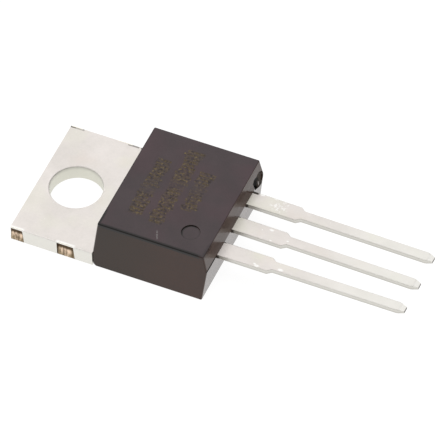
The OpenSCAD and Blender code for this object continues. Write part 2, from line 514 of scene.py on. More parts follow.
    def strokes(self, tree: FinishTree) -> Signal:
        """Masks rows of plain strokes of uneven strength, each drawn in fine passes.

        Args:
            tree: The tree to build in.

        Returns:
            1 on a stroke, 0 beside it.
        """
        stroke = (tree.y / self.stroke_pitch).fraction().between(0.24, 0.76, 0.09)
        passes = (tree.y * 15.0 + tree.x * 2.0).fraction().ramp(0.1, 0.5, 0.6, 1.0)
        rows = sum(self.row(tree, row) for row in self.rows)
        return rows * (stroke * 0.5 + 0.5) * passes * self.level_top(tree)

    def scribed(self, tree: FinishTree) -> Signal:
        """Colours the strokes.

        Args:
            tree: The tree to build in.

        Returns:
            The colour: brown, with pale and dark spots.
        """
        pale = tree.cloud(4.8, 2.0, 0.6, 15.0).ramp(0.49, 0.62)
        dark = tree.cloud(4.6, 2.0, 0.6, 13.0).ramp(0.5, 0.58)
        brown = tree.blend(self.stroke_colour, self.pale_stroke_colour, pale)
        return tree.blend(brown, self.dark_stroke_colour, dark)

    def material(self) -> bpy.types.Material:
        """Builds the material.

        Returns:
            The material.
        """
        tree = FinishTree("black_epoxy")
        cloud = tree.cloud(0.42, 4.0, 0.6)
        speck = tree.cloud(8.0, 3.0, 0.6, 3.0)
        grain = tree.cloud(26.0, 2.0, 0.6, 7.0)
        # Painted shade along the top's rim and on one side of the ejector mark's wall.
        edges = (self.painted_shade_colour, self.painted_edge_shade(tree)), (self.painted_shade_colour, self.painted_mark_shade(tree))
        colour = tree.layers(self.ground(tree), *edges)
        colour = tree.shade(colour, cloud.ramp(0.3, 0.7, 0.88, 1.1) * speck.ramp(0.3, 0.72, 0.95, 1.06))
        worn = speck.ramp(0.38, 0.58, 0.45, 1.0) * tree.cloud(1.6, 2.0, 0.5, 11.0).ramp(0.36, 0.56, 0.6, 1.0)
        strokes = self.strokes(tree) * worn
        colour = tree.layers(
            colour,
            (self.scratch_colour, self.scratch(tree) * speck.ramp(0.35, 0.55) * 0.45),
            (self.scribed(tree), (strokes * 1.2).lower(1.0)),
        )
        rough = cloud.ramp(0.3, 0.7, 0.15, 0.2) + speck.ramp(0.3, 0.7, -0.02, 0.03) + strokes * 0.3
        relief = grain * 0.7 + speck * 0.3 - strokes * 1.2
        skin = self.lead_end(tree) * tree.z.ramp(self.parting + 0.03, self.parting - 0.03) * self.end_coat
        return tree.surface(colour, rough, 0.0, relief, self.relief_depth, gloss=self.gloss, coat=skin)


@dataclass(frozen=True)
class FractureFinish:
    """Fresh epoxy where the runner broke off: near black, with a pale streak that is a painted highlight."""

    colour: Rgb = (0.005, 0.004, 0.0035)
    brown: Rgb = (0.075, 0.06, 0.05)
    # Painted highlight: a pale streak on the broken face.
    painted_glint: Rgb = (0.62, 0.57, 0.55)
    painted_glint_width: Point = (4.49, 4.54)
    painted_glint_height: Point = (2.28, 2.68)
    relief_depth: float = 0.03
    ior: float = 1.16

    def material(self) -> bpy.types.Material:
        """Builds the material.

        Returns:
            The material.
        """
        tree = FinishTree("broken_epoxy")
        facet = tree.cloud(4.0, 2.0, 0.5, 5.0)
        # Painted highlight: a pale upright streak.
        leaning = (tree.y + tree.z * 0.06).between(*self.painted_glint_width, 0.03)
        outer = tree.y.ramp(4.12, 4.3) * facet.ramp(0.35, 0.6, 0.35, 1.0)
        streak = leaning * tree.z.between(*self.painted_glint_height, 0.05)
        colour = tree.layers(self.colour, (self.brown, outer), (self.painted_glint, streak))
        rough = facet.ramp(0.3, 0.7, 0.55, 0.75)
        return tree.surface(colour, rough, 0.0, facet, self.relief_depth, self.ior)


class Drawing(Enum):
    """Which way a strip was rolled, as the stretch of its marks along X, Y and Z."""

    ALONG_LEADS = (0.35, 4.0, 4.0)
    ALL_ROUND = (1.0, 1.0, 1.0)


@dataclass(frozen=True)
class TinFinish:
    """Matt tin plating: pale, faintly cloudy, with fine rolling marks and duller punched sides."""

    name: str
    drawing: Drawing
    side_colour: Rgb
    colour: Rgb = (0.825, 0.775, 0.74)
    dull_colour: Rgb = (0.745, 0.705, 0.665)
    warm_colour: Rgb = (0.80, 0.72, 0.66)
    warm_share: float = 0.5
    cream_colour: Rgb = (0.80, 0.785, 0.68)
    cream_share: float = 0.6
    # Near white, for the painted glints of nicks and burrs, and for one scuffed patch.
    nick_glint_colour: Rgb = (1.0, 0.985, 0.96)
    nick_share: float = 1.0
    relief_depth: float = 0.003

    def bare(self, tree: FinishTree) -> Value:
        """How metallic the plating looks: less where it is crushed to a pale powdery skin.

        Args:
            tree: The tree to build in.

        Returns:
            The share, from 0 to 1.
        """
        return 1.0

    def marks(self, tree: FinishTree, colour: Signal, punched: Signal) -> Signal:
        """Adds what only this piece shows.

        Args:
            tree: The tree to build in.
            colour: The plating's colour so far.
            punched: 1 on the punched sides.

        Returns:
            The colour with its marks.
        """
        return tree.blend(colour, self.side_colour, punched)

    def material(self) -> bpy.types.Material:
        """Builds the material.

        Returns:
            The material.
        """
        tree = FinishTree(self.name)
        cloud = tree.cloud(0.35, 3.0, 0.55)
        blotch = tree.cloud(2.2, 3.0, 0.6, 2.0)
        rolled = tree.noise(tree.stretch(tree.place, *self.drawing.value), 6.0, 3.0, 0.6, 4.0)
        grain = tree.cloud(30.0, 2.0, 0.6, 6.0)
        # Nicks: pale specks, the glints of small dents painted into the colour.
        nick = tree.cloud(3.4, 2.0, 0.5, 9.0).ramp(0.71, 0.75)
        warm = tree.cloud(0.5, 2.0, 0.5, 21.0).ramp(0.5, 0.72)
        cream = tree.cloud(0.45, 2.0, 0.5, 25.0).ramp(0.48, 0.66)
        punched = tree.facing_z.absolute().ramp(0.75, 0.35)
        colour = tree.layers(
            self.colour,
            (self.dull_colour, cloud.ramp(0.35, 0.7) * 0.55 + blotch.ramp(0.4, 0.7) * 0.3),
            (self.warm_colour, warm * self.warm_share),
            (self.cream_colour, cream * self.cream_share),
        )
        colour = tree.shade(colour, rolled.ramp(0.3, 0.7, 0.98, 1.02))
        colour = self.marks(tree, tree.blend(colour, self.nick_glint_colour, nick * self.nick_share), punched)
        rough = 0.35 + cloud.ramp(0.3, 0.7, -0.02, 0.04) + rolled.ramp(0.3, 0.7, -0.02, 0.02) + punched * 0.08
        relief = grain * 0.5 + rolled * 0.35 + blotch * 0.5
        return tree.surface(colour, rough, self.bare(tree), relief, self.relief_depth)


@dataclass(frozen=True)
class TabTinFinish(TinFinish):
    """Tin on the tab: with painted shade down the hole, a painted highlight along the burrs of the near edge,
    and dark lines along the far edge, painted shade next to the epoxy.
    """

    cream_share: float = 0.35
    nick_share: float = 0.3
    hole_radius: float = 1.93
    # Painted shade on the hole's wall, darker near its rim.
    hole_wall_shade: Rgb = (0.71, 0.70, 0.62)
    hole_rim_shade: Rgb = (0.56, 0.55, 0.49)
    top: float = 1.27
    far_edge: float = 5.09
    # Dark lines along the far edge; the one next to the epoxy is painted shade.
    line_colour: Rgb = (0.07, 0.06, 0.05)
    # Each line's start and end along X, and its strength.
    lines: tuple[Triple, ...] = (
        (1.75, 2.6, 0.6),
        (2.75, 3.7, 1.0),
        (-2.8, -2.35, 0.9),
        (-2.35, -1.7, 0.45),
    )
    # Where the burrs of the near edge, with a painted highlight along them, start and end along X.
    burrs: tuple[Point, ...] = ((-2.8, -1.75), (0.8, 2.2))

    def bare(self, tree: FinishTree) -> Value:
        """Leaves the crushed near edge and the hole's rim less metallic.

        Args:
            tree: The tree to build in.

        Returns:
            The share, from 0 to 1.
        """
        rim = tree.away_from(0.0, 0.0).ramp(self.hole_radius + 0.14, self.hole_radius + 0.08)
        worn = (tree.y.ramp(-5.04, -5.1) + rim).lower(1.0)
        return 1.0 - worn * tree.z.ramp(self.top - 0.12, self.top - 0.06) * 0.7

    def marks(self, tree: FinishTree, colour: Signal, punched: Signal) -> Signal:
        """Adds painted shade on the hole's wall, darkest near its rim, a painted highlight along the burrs
        and dark lines along the far edge, painted shade next to the epoxy.

        Args:
            tree: The tree to build in.
            colour: The plating's colour so far.
            punched: 1 on the punched sides.

        Returns:
            The colour with its marks.
        """
        # Painted shade down the hole, darker near its rim.
        in_hole = tree.away_from(0.0, 0.0).ramp(self.hole_radius + 0.16, self.hole_radius + 0.06)
        near_rim = tree.z.ramp(self.top - 0.42, self.top - 0.05)
        wall = tree.blend(self.hole_wall_shade, self.hole_rim_shade, near_rim)
        # Painted highlight along the burrs on the near edge.
        crushed = tree.y.ramp(-4.9, -5.06) * tree.z.ramp(self.top - 0.1, self.top - 0.04)
        far = tree.y.ramp(self.far_edge - 0.1, self.far_edge - 0.06)
        layers = [(self.side_colour, punched), (wall, in_hole * punched)]
        for start, end in self.burrs:
            layers.append((self.nick_glint_colour, crushed * tree.x.between(start, end, 0.08)))
        for start, end, strength in self.lines:
            layers.append((self.line_colour, far * tree.x.between(start, end, 0.04) * strength))
        return tree.layers(colour, *layers)


@dataclass(frozen=True)
class LeadTinFinish(TinFinish):
    """Tin on the leads: painted shade down their punched sides and at their roots, a painted highlight on the
    coined tips, and a few nicks whose glints are painted.
    """

    root: float = 12.38
    top: float = 2.96
    gate_slope: float = 0.0035
    other_slope: float = 0.0200
    # Painted shade: towards the foot of the sides, and at the roots.
    foot_shade_colour: Rgb = (0.56, 0.545, 0.505)
    root_shade_colour: Rgb = (0.05, 0.043, 0.035)
    shaded_colour: Rgb = (0.42, 0.40, 0.36)
    # The tops turn paler further out along the leads.
    outer_colour: Rgb = (0.89, 0.885, 0.83)
    outer_stretch: Point = (15.5, 24.5)
    outer_share: float = 0.63
    # Painted highlight on the bevelled tips.
    tip_highlight_colour: Rgb = (1.0, 0.98, 0.93)
    tip_start: float = 25.93
    # Each nick's place along X and Y, and its radius; its glint is painted as a pale spot.
    nicks: tuple[Triple, ...] = (
        (15.3, -3.03, 0.14),
        (15.1, -2.9, 0.08),
        (17.0, -2.74, 0.15),
        (14.98, 0.39, 0.12),
        (15.27, -0.5, 0.07),
        (13.1, 3.1, 0.13),
        (16.4, -0.1, 0.07),
    )
    nick_length: float = 0.55
    scuff: Triple = (14.6, 2.75, 0.85)
    # Each painted shade at a root: its far side along Y, its width and its length.
    root_shades: tuple[Triple, ...] = ((3.19, 0.21, 0.55), (0.65, 0.1, 0.2), (-1.89, 0.1, 0.2))

    def upward(self, tree: FinishTree) -> Signal:
        """1 on the leads' upper faces."""
        return tree.facing_z.ramp(0.5, 0.8)

    def tip(self, tree: FinishTree) -> Signal:
        """1 on the bevelled tips."""
        return tree.x.ramp(self.tip_start, self.tip_start + 0.12) * self.upward(tree)

    def bare(self, tree: FinishTree) -> Value:
        """Leaves the coined tips, the roots and the near edges less metallic.

        Args:
            tree: The tree to build in.

        Returns:
            The share, from 0 to 1.
        """
        root = tree.x.ramp(self.root + 0.7, self.root) * self.upward(tree)
        edge = tree.facing_z.between(0.3, 0.93, 0.05) * tree.facing_y.ramp(-0.2, -0.35)
        return 1.0 - (self.tip(tree) * 0.75 + root * 0.55 + edge * 0.5).lower(0.8)

    def punched_side(self, tree: FinishTree) -> Signal:
        """Colours the punched sides with painted shade: greyer towards the foot, darker towards the epoxy.

        Args:
            tree: The tree to build in.

        Returns:
            The colour.
        """
        slope = tree.y.ramp(-1.3, -1.2, self.gate_slope, self.other_slope)
        below = self.top - slope * (tree.x - self.root) - tree.z
        side = tree.blend(self.side_colour, self.foot_shade_colour, below.ramp(0.16, 0.34))
        side = tree.blend(self.shaded_colour, side, tree.x.ramp(self.root + 0.3, self.root + 1.3))
        return tree.blend(self.root_shade_colour, side, tree.x.ramp(self.root + 0.05, self.root + 0.22))

    def marks(self, tree: FinishTree, colour: Signal, punched: Signal) -> Signal:
        """Adds the shaded sides, the painted highlight on the tips, the nicks, one scuffed patch and painted
        shade at the roots and along the far edge.

        Args:
            tree: The tree to build in.
            colour: The plating's colour so far.
            punched: 1 on the punched sides.

        Returns:
            The colour with its marks.
        """
        upward = self.upward(tree)
        layers = [(self.outer_colour, tree.x.ramp(*self.outer_stretch) * self.outer_share)]
        # Nicks: dents whose glints are painted as pale spots.
        for x, y, radius in self.nicks:
            nick = tree.away_from(x, y, self.nick_length).ramp(radius, radius * 0.4)
            layers.append((self.nick_glint_colour, nick * upward))
        scuff_x, scuff_y, radius = self.scuff
        patch = tree.away_from(scuff_x, scuff_y).ramp(radius, radius * 0.6)
        flakes = tree.cloud(4.2, 2.0, 0.6, 31.0).ramp(0.49, 0.59)
        layers.append((self.nick_glint_colour, patch * flakes * upward * 0.75))
        # Painted shade: a grey line along the far edge, black near the root.
        far_edge = tree.facing_y.ramp(0.1, 0.45) * tree.facing_z.ramp(0.3, 0.5)
        layers.append((self.foot_shade_colour, far_edge * 0.75))
        layers.append((self.root_shade_colour, far_edge * tree.x.ramp(self.root + 0.5, self.root + 0.2)))
        # Painted shade on the tops at the roots.
        for far, wide, long in self.root_shades:
            stretch = tree.x.ramp(self.root + long, self.root + long * 0.6)
            layers.append((self.root_shade_colour, tree.y.between(far - wide, far + 0.1, 0.03) * stretch))
        layers += [(self.tip_highlight_colour, self.tip(tree)), (self.punched_side(tree), punched)]
        return tree.layers(colour, *layers)


@dataclass(frozen=True)
class ShearedCopperFinish:
    """Bare copper where strips were sheared off: streaked, browner under the burr and towards the ends,
    partly oxide and partly painted shade.
    """

    top: float = 1.2
    bright: Rgb = (0.90, 0.70, 0.53)
    olive: Rgb = (0.36, 0.28, 0.18)
    dark: Rgb = (0.085, 0.053, 0.026)
    middles: tuple[float, float] = (-2.3, 1.45)
    half_length: float = 0.62
    relief_depth: float = 0.02

    def material(self) -> bpy.types.Material:
        """Builds the material.

        Returns:
            The material.
        """
        tree = FinishTree("sheared_copper")
        streak = tree.noise(tree.stretch(tree.place, 7.0, 2.0, 0.9), 1.0, 4.0, 0.65)
        stain = tree.cloud(3.2, 3.0, 0.6, 3.0)
        # Painted shade under the burr and at the ends, over some oxide.
        burr_shade = tree.z.ramp(self.top - 0.6, self.top - 0.34)
        from_middle = (tree.x - self.middles[0]).absolute().lower((tree.x - self.middles[1]).absolute())
        end_shade = from_middle.ramp(self.half_length * 0.45, self.half_length)
        dull = stain.ramp(0.42, 0.62) * 0.5 + end_shade * 0.7 + tree.z.ramp(0.5, 0.2) * 0.6
        brown = streak.ramp(0.47, 0.62) * 0.65 + end_shade * 0.4 + burr_shade
        colour = tree.layers(self.bright, (self.olive, dull.lower(1.0)), (self.dark, brown.lower(1.0)))
        rough = 0.36 + streak.ramp(0.3, 0.7, 0.0, 0.18)
        return tree.surface(colour, rough, 1.0, streak, self.relief_depth)


@dataclass(frozen=True)
class MottledFinish:
    """Two colours mottled by one noise, which also gives the roughness and the relief."""

    name: str
    colour: Rgb
    second: Rgb
    rough: Point
    metallic: float = 1.0
    mix: Point = (0.35, 0.65)
    stretch: Triple = (1.0, 1.0, 1.0)
    scale: float = 3.0
    detail: float = 4.0
    relief_depth: float = 0.004

    def material(self) -> bpy.types.Material:
        """Builds the material.

        Returns:
            The material.
        """
        tree = FinishTree(self.name)
        mottle = tree.noise(tree.stretch(tree.place, *self.stretch), self.scale, self.detail, 0.6)
        colour = tree.blend(self.colour, self.second, mottle.ramp(*self.mix))
        rough = mottle.ramp(0.3, 0.7, *self.rough)
        return tree.surface(colour, rough, self.metallic, mottle, self.relief_depth)


@dataclass(frozen=True)
class BurrFinish(MottledFinish):
    """Near-white tin along the burr that the shear turned up: a painted highlight."""

    # Painted highlight: the burr is near white and barely metallic.
    name: str = "painted_burr_highlight"
    colour: Rgb = (0.98, 0.94, 0.84)
    second: Rgb = (0.90, 0.84, 0.72)
    rough: Point = (0.45, 0.6)
    metallic: float = 0.15
    mix: Point = (0.4, 0.65)
    scale: float = 6.0
    detail: float = 3.0
    relief_depth: float = 0.01


@dataclass(frozen=True)
class CutTipFinish(MottledFinish):
    """Bare end of a lead where the strip was cropped, smeared with a little tin."""

    name: str = "cropped_tip"
    colour: Rgb = (0.055, 0.042, 0.03)
    second: Rgb = (0.16, 0.145, 0.12)
    rough: Point = (0.4, 0.6)
    mix: Point = (0.45, 0.7)
    stretch: Triple = (1.0, 9.0, 2.0)
    scale: float = 1.4
    detail: float = 3.0
    relief_depth: float = 0.01


@dataclass(frozen=True)
class WireFinish(MottledFinish):
    """Drawn aluminium wire, grained along its length."""

    name: str = "aluminium_wire"
    colour: Rgb = (0.82, 0.82, 0.83)
    second: Rgb = (0.72, 0.72, 0.73)
    rough: Point = (0.24, 0.38)
    stretch: Triple = (1.0, 6.0, 6.0)


@dataclass(frozen=True)
class SiliconFinish(MottledFinish):
    """Polished silicon, faintly clouded."""

    name: str = "silicon"
    colour: Rgb = (0.10, 0.11, 0.14)
    second: Rgb = (0.13, 0.14, 0.18)
    rough: Point = (0.1, 0.24)
    metallic: float = 0.0


@dataclass(frozen=True)
class SolderFinish(MottledFinish):
    """Dull soft solder."""

    name: str = "soft_solder"
    colour: Rgb = (0.52, 0.52, 0.53)
    second: Rgb = (0.40, 0.40, 0.41)
    rough: Point = (0.44, 0.58)


# ---------------------------------------------------------------------------------------------
# Bench work: meshes are worked in millimetres and put down in metres
# ---------------------------------------------------------------------------------------------


class Cut(Enum):
    """How one solid works on another."""

    ADD = "UNION"
    TAKE = "DIFFERENCE"
    KEEP = "INTERSECT"


class Bench:
    """Holds the bench tools that every sub-assembly uses."""

    # Within these distances, in millimetres, points of a copied and of a grown mesh are merged.
    MERGE = 1e-4
    FINE_MERGE = 1e-5
    # Faces that meet at less than FLAT become one, and an edge past SHARP isn't smoothed over.
    FLAT = math.radians(0.5)
    SHARP = math.radians(32.0)
    WEIGHTS = "bevel_weight_edge"

    @staticmethod
    def place(name: str, form: bmesh.types.BMesh, finish: bpy.types.Material) -> bpy.types.Object:
        """Makes an object from a filled form, which is used up.

        Args:
            name: The object's name.
            form: The form, in millimetres.
            finish: Its material.

        Returns:
            The object, in millimetres.
        """
        mesh = bpy.data.meshes.new(name)
        bmesh.ops.recalc_face_normals(form, faces=form.faces)
        form.to_mesh(mesh)
        form.free()
        obj = bpy.data.objects.new(name, mesh)
        bpy.context.scene.collection.objects.link(obj)
        mesh.materials.append(finish)
        return obj

    @staticmethod
    def prism(rings: Sequence[Sequence[Sequence[float]]]) -> bmesh.types.BMesh:
        """Skins a closed form over rings of points, with a flat cap on each end.

        Args:
            rings: The rings, each a loop of the same number of points.

        Returns:
            The form.
        """
        form = bmesh.new()
        loops = [[form.verts.new(point) for point in ring] for ring in rings]
        count = len(loops[0])
        for before, after in zip(loops, loops[1:]):
            for i in range(count):
                j = (i + 1) % count
                form.faces.new((before[i], before[j], after[j], after[i]))
        form.faces.new(loops[0][::-1])
        form.faces.new(loops[-1])
        return form

    @staticmethod
    def lathe(
        name: str, centre: Point, profile: Sequence[Point], turns: int, finish: bpy.types.Material
    ) -> bpy.types.Object:
        """Turns a solid about a line along Z.

        Args:
            name: The object's name.
            centre: The line's place in X and Y.
            profile: (radius, height) from the lower cap to the upper one.
            turns: How many facets it has round it.
            finish: Its material.

        Returns:
            The solid, in millimetres.
        """
        x, y = centre
        angles = [2 * math.pi * i / turns for i in range(turns)]
        rings = []
        for radius, height in profile:
            rings.append([(x + radius * math.cos(a), y + radius * math.sin(a), height) for a in angles])
        return Bench.place(name, Bench.prism(rings), finish)

    @staticmethod
    def copy_node(
        node: str, finish: bpy.types.Material, low: Optional[float] = None, high: Optional[float] = None
    ) -> bpy.types.Object:
        """Copies a solid, joined up and, if wanted, cut to a stretch along X.

        Args:
            node: The solid's name.
            finish: Its material.
            low: Where the stretch starts.
            high: Where it ends.

        Returns:
            The copy, in millimetres.
        """
        form = bmesh.new()
        form.from_mesh(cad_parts[node].data)
        bmesh.ops.transform(form, matrix=Matrix.Scale(1.0 / MM, 4), verts=form.verts)
        bmesh.ops.remove_doubles(form, verts=form.verts, dist=Bench.MERGE)
        bmesh.ops.dissolve_limit(form, angle_limit=Bench.FLAT, verts=form.verts, edges=form.edges)
        for limit, side in ((low, -1.0), (high, 1.0)):
            if limit is None:
                continue
            parts = [*form.verts, *form.edges, *form.faces]
            cut = bmesh.ops.bisect_plane(
                form, geom=parts, plane_co=(limit, 0, 0), plane_no=(side, 0, 0), clear_outer=True
            )
            rim = [part for part in cut["geom_cut"] if isinstance(part, bmesh.types.BMEdge)]
            bmesh.ops.edgenet_fill(form, edges=rim)
        for face in form.faces:
            face.material_index = 0
        return Bench.place(f"{node}_copy", form, finish)

    @staticmethod
    def turn_outward(obj: bpy.types.Object) -> None:
        """Merges a closed mesh's doubles, then turns its faces outwards.

        Args:
            obj: The object.
        """
        form = bmesh.new()
        form.from_mesh(obj.data)
        bmesh.ops.remove_doubles(form, verts=form.verts, dist=Bench.FINE_MERGE)
        bmesh.ops.recalc_face_normals(form, faces=form.faces)
        form.to_mesh(obj.data)
        form.free()

    @staticmethod
    def apply(obj: bpy.types.Object) -> None:
        """Turns an object's modifiers into its plain mesh.

        Args:
            obj: The object.
        """
        graph = bpy.context.evaluated_depsgraph_get()
        made = obj.evaluated_get(graph)
        mesh = bpy.data.meshes.new_from_object(made, preserve_all_data_layers=True, depsgraph=graph)
        obj.modifiers.clear()
        old = obj.data
        obj.data = mesh
        bpy.data.meshes.remove(old)

    @staticmethod
    def cut(target: bpy.types.Object, tool: bpy.types.Object, how: Cut) -> None:
        """Works one solid on another and puts the tool away.

        Args:
            target: The solid that stays.
            tool: The solid that is used up.
            how: What the tool does.
        """
        step = target.modifiers.new("cut", "BOOLEAN")
        step.operation = how.value
        step.solver = "EXACT"
        step.material_mode = "TRANSFER"
        step.object = tool
        Bench.apply(target)
        spent = tool.data
        bpy.data.objects.remove(tool)
        bpy.data.meshes.remove(spent)

    @staticmethod
    def round_edges(
        obj: bpy.types.Object, radius: float, share: Callable[[Vector, Vector], float], steps: int
    ) -> None:
        """Rounds an object's edges, each by its own share of a radius.

        Args:
            obj: The object.
            radius: The largest radius.
            share: Gives an edge's share of it, from 0 to 1, from the edge's two ends.
            steps: How many facets a rounding has.
        """
        mesh = obj.data
        weight = mesh.attributes.new(Bench.WEIGHTS, "FLOAT", "EDGE")
        for edge in mesh.edges:
            first, second = (mesh.vertices[index].co for index in edge.vertices)
            weight.data[edge.index].value = share(first, second)
        step = obj.modifiers.new("round", "BEVEL")
        step.width = radius
        step.segments = steps
        step.limit_method = "WEIGHT"
        step.offset_type = "OFFSET"
        step.use_clamp_overlap = True
        Bench.apply(obj)
        left = obj.data.attributes.get(Bench.WEIGHTS)
        if left is not None:
            obj.data.attributes.remove(left)

    @staticmethod
    def finish(obj: bpy.types.Object, slot: str, node: str) -> bpy.types.Object:
        """Shades a piece, puts it down in metres and hands it to the frame.

        Args:
            obj: The piece, in millimetres.
            slot: The record's material slot; not used.
            node: The solid that it stands for.

        Returns:
            The finished piece.
        """
        obj.data.polygons.foreach_set("use_smooth", [True] * len(obj.data.polygons))
        obj.data.set_sharp_from_angle(angle=Bench.SHARP)
        step = obj.modifiers.new("even", "WEIGHTED_NORMAL")
        step.keep_sharp = True
        step.weight = 80
        Bench.apply(obj)
        obj.data.transform(Matrix.Scale(MM, 4))
        obj.data.update()
        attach(obj, "root")
        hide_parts(node)
        log.info("%s: %d faces", obj.name, len(obj.data.polygons))
        return obj


class ShapeTree(NodeTree):
    """A geometry tree with named inputs, which makes one mesh by rule."""

    def __init__(self, name: str, sizes: dict[str, float]) -> None:
        """Makes the tree and its inputs.

        Args:
            name: The tree's name.
            sizes: The inputs' names and values.
        """
        self.group = bpy.data.node_groups.new(name, "GeometryNodeTree")
        super().__init__(self.group)
        self.sizes = sizes
        self.keys: dict[str, str] = {}
        for size in sizes:
            socket = self.group.interface.new_socket(name=size, in_out="INPUT", socket_type="NodeSocketFloat")
            self.keys[size] = socket.identifier
        self.group.interface.new_socket(name="Geometry", in_out="OUTPUT", socket_type="NodeSocketGeometry")
        self.inputs = self.node("NodeGroupInput")

    def size(self, name: str) -> Signal:
        """A named input."""
        return self.out(self.inputs, name)

    def place_of(self) -> tuple[Signal, Signal, Signal]:
        """The parts of each point's position."""
        return self.split(self.out(self.node("GeometryNodeInputPosition")))

    def above(self, value: Signal, limit: Value) -> Signal:
        """True where a value is past a limit."""
        settings = {"data_type": "FLOAT", "operation": "GREATER_THAN"}
        return self.out(self.node("FunctionNodeCompare", settings, {0: value, 1: limit}))

    def line(self, start: Value, end: Value, count: int) -> Signal:
        """A straight curve with evenly spaced points.

        Args:
            start: Its first point.
            end: Its last point.
            count: How many points it has.

        Returns:
            The curve.
        """
        line = self.node("GeometryNodeCurvePrimitiveLine", None, {"Start": start, "End": end})
        values = {"Curve": self.out(line), "Count": count}
        return self.out(self.node("GeometryNodeResampleCurve", None, values))

    def circle(self, count: int) -> Signal:
        """A ring of radius 1 with evenly spaced points."""
        values = {"Resolution": count, "Radius": 1.0}
        return self.out(self.node("GeometryNodeCurvePrimitiveCircle", None, values))

    def sweep(self, path: Signal, ring: Signal, scale: Value = 1.0) -> Signal:
        """Skins a ring along a curve, with both ends closed.

        Args:
            path: The curve.
            ring: The ring.
            scale: How large the ring is at each point.

        Returns:
            The skin.
        """
        values = {"Curve": path, "Profile Curve": ring, "Scale": scale, "Fill Caps": True}
        return self.out(self.node("GeometryNodeCurveToMesh", None, values))

    def block(self, along_x: int, along_y: int, along_z: int) -> Signal:
        """A cube of side 1 about the origin, with so many points along each edge."""
        counts = {"Size": (1, 1, 1), "Vertices X": along_x, "Vertices Y": along_y, "Vertices Z": along_z}
        return self.out(self.node("GeometryNodeMeshCube", None, counts), "Mesh")

    def move(self, shape: Signal, place: Signal) -> Signal:
        """Puts each point of a shape in its own place."""
        return self.out(self.node("GeometryNodeSetPosition", None, {"Geometry": shape, "Position": place}))

    def make(
        self, name: str, shape: Signal, finish: bpy.types.Material, *spots: tuple[Signal, bpy.types.Material]
    ) -> bpy.types.Object:
        """Ends the tree, runs it and turns its result into a plain mesh.

        Args:
            name: The object's name.
            shape: The tree's geometry.
            finish: The material of the whole shape.
            *spots: Selections that have a material of their own.

        Returns:
            The object, in millimetres.
        """
        dressed = self.out(self.node("GeometryNodeRealizeInstances", None, {0: shape}))
        for selection, material in ((True, finish), *spots):
            values = {"Geometry": dressed, "Selection": selection, "Material": material}
            dressed = self.out(self.node("GeometryNodeSetMaterial", None, values))
        self.node("NodeGroupOutput", None, {0: dressed})
        obj = bpy.data.objects.new(name, bpy.data.meshes.new(name))
        bpy.context.scene.collection.objects.link(obj)
        step = obj.modifiers.new("shape", "NODES")
        step.node_group = self.group
        for size, value in self.sizes.items():
            step[self.keys[size]] = value
        Bench.apply(obj)
        return obj


# ---------------------------------------------------------------------------------------------
# Sub-assemblies
# ---------------------------------------------------------------------------------------------


